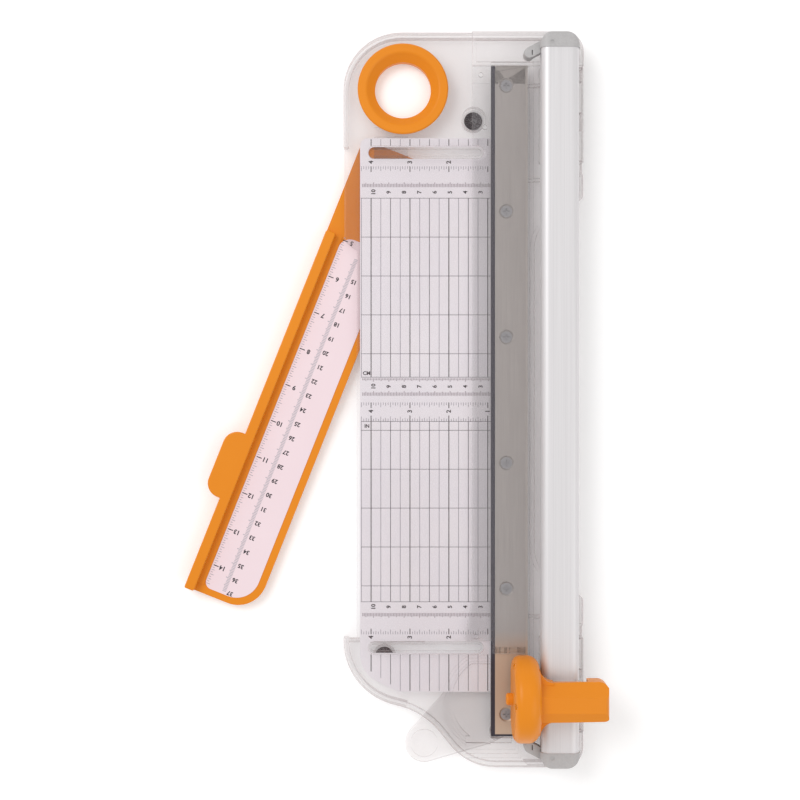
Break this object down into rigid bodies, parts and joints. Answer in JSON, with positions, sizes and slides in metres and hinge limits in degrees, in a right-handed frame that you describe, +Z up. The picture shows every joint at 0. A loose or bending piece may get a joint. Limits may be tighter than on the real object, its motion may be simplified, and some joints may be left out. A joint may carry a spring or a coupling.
{
  "type": "rotary paper trimmer",
  "caption": "Portable rotary paper trimmer: clear base with a printed grid, hinged aluminium rail, sliding carriage with a round blade, swing-out ruler arm and a hanging ring.",
  "frame": {"origin": "middle of the footprint, on the table the feet stand on, with the ruler arm part open", "axes": "+Y along the cut towards the hanging ring, +X from the ruler arm to the rail, +Z up"},
  "size_m": [0.2728, 0.4794, 0.0628],
  "materials": {
    "clear_plastic": "clear, polished",
    "orange_plastic": "satin moulded",
    "grey_plastic": "fine texture",
    "rail_aluminium": "satin anodised",
    "plate_steel": "brushed",
    "bed_foam": "matte",
    "printed_label": "printed film",
    "foot_rubber": "matte",
    "screw_steel": "zinc plated",
    "nylon": "self-coloured nylon",
    "blade_steel": "ground tool steel"
  },
  "bodies": {
    "base": {"base_tray": "clear_plastic", "cutting_plate": "plate_steel", "plate_bed": "bed_foam", "plate_screws": "screw_steel", "grid_label": "printed_label", "paper_guide": "clear_plastic", "hang_ring": "orange_plastic", "rubber_feet": "foot_rubber", "arm_pivot_screw": "screw_steel", "tray_screw": "screw_steel", "hinge_pins": "screw_steel"},
    "arm": {"ruler_arm": "orange_plastic", "arm_label": "printed_label", "arm_washer": "nylon"},
    "tray": {"blade_tray": "clear_plastic"},
    "rail": {"rail_extrusion": "rail_aluminium", "end_cap_upper": "grey_plastic", "end_cap_lower": "grey_plastic", "hinge_block_upper": "clear_plastic", "hinge_block_lower": "clear_plastic", "block_screws": "screw_steel"},
    "slider": {"glide_block": "nylon", "press_springs": "screw_steel"},
    "handle": {"carriage_shell": "orange_plastic", "blade_cover": "orange_plastic", "axle_bolt": "screw_steel", "axle_knob": "orange_plastic", "cover_screws": "screw_steel"},
    "blade": {"rotary_blade": "blade_steel", "blade_hub": "nylon", "hub_washer": "nylon"}
  },
  "joints": [
    {"name": "arm_swing", "type": "hinge", "parent": "base", "child": "arm", "pos_m": [-0.00219, 0.1335, 0.005], "axis": [0, 0, -1], "range_deg": [-21.7, 68.3]},
    {"name": "tray_swing", "type": "hinge", "parent": "base", "child": "tray", "pos_m": [0.06691, -0.2169, 0.0035], "axis": [0, 0, 1], "range_deg": [0, 69]},
    {"name": "rail_lift", "type": "hinge", "parent": "base", "child": "rail", "pos_m": [0.11881, 0, 0.0084], "axis": [0, 1, 0], "range_deg": [0, 45]},
    {"name": "carriage_slide", "type": "slide", "parent": "rail", "child": "slider", "axis": [0, 1, 0], "range_m": [0, 0.38]},
    {"name": "handle_press", "type": "slide", "parent": "slider", "child": "handle", "axis": [0, 0, -1], "range_m": [0, 0.003], "stiffness_N_per_m": 900, "springref_m": -0.002, "deforming": ["press_springs"]},
    {"name": "blade_spin", "type": "hinge", "parent": "handle", "child": "blade", "pos_m": [0.08711, -0.19, 0.0353], "axis": [1, 0, 0], "continuous": true}
  ]
}
